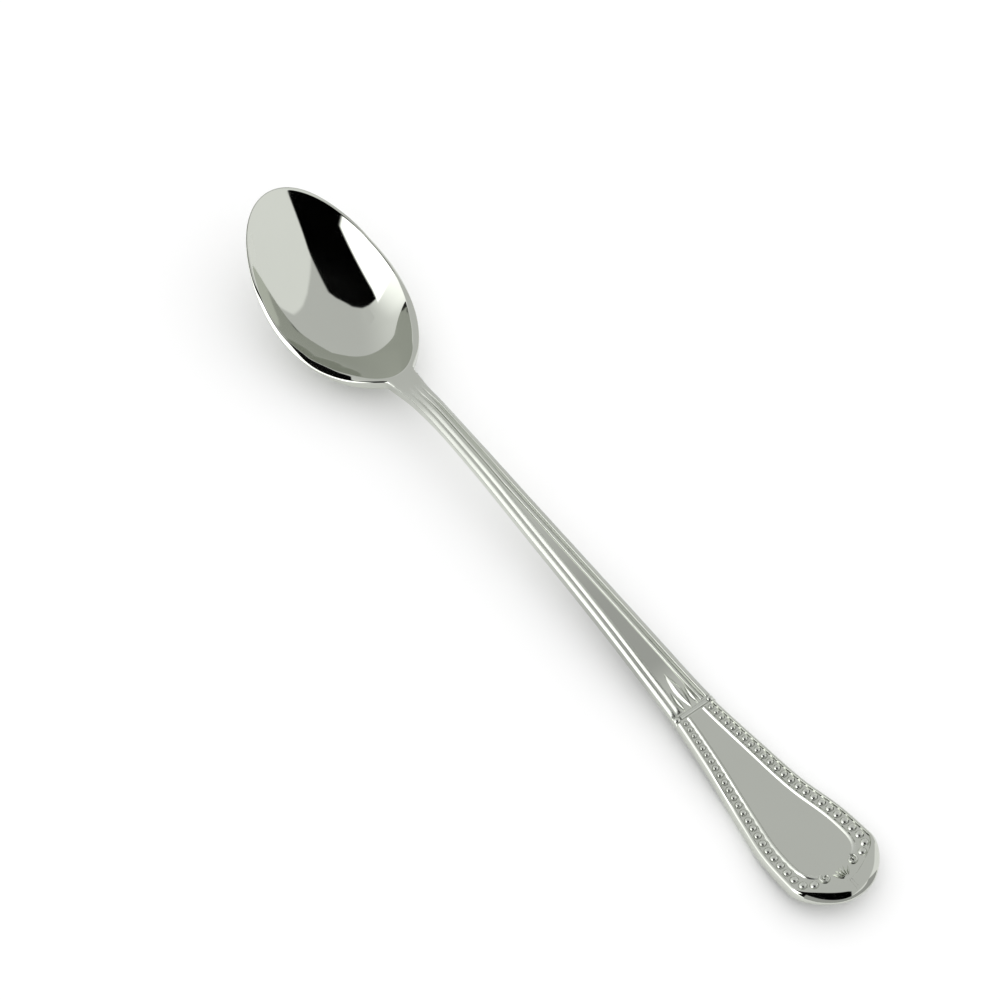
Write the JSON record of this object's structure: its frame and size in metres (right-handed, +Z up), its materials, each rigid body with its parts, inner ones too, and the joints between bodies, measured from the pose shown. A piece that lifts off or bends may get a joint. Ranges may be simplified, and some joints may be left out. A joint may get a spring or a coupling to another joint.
{
  "type": "iced tea spoon",
  "caption": "Long-handled iced tea spoon in polished steel: an egg-shaped bowl on a slender stem edged with threads, and a broad round-ended handle with beaded sides.",
  "frame": {"origin": "middle of the spoon's box in plan, on the surface that it rests on, hollow side up", "axes": "+X from the bowl's tip to the handle's end, +Y to the left of that way, +Z up out of the bowl"},
  "size_m": [0.19, 0.0288, 0.0214],
  "materials": {
    "steel_smooth": "polished",
    "steel_relief": "polished"
  },
  "bodies": {
    "root": {"bowl": "steel_smooth", "neck": "steel_smooth", "stem": "steel_smooth", "stem_edge_thread_left": "steel_relief", "stem_edge_thread_right": "steel_relief", "stem_inner_thread_left": "steel_relief", "stem_inner_thread_right": "steel_relief", "leaf_spray": "steel_relief", "crossbar": "steel_relief", "crossbar_studs": "steel_relief", "handle_blade": "steel_smooth", "handle_border": "steel_smooth", "bead_row_left": "steel_relief", "bead_row_right": "steel_relief", "panel_ridge_left": "steel_relief", "panel_ridge_right": "steel_relief", "tip_shell": "steel_relief", "tip_scrolls": "steel_relief"}
  },
  "joints": []
}
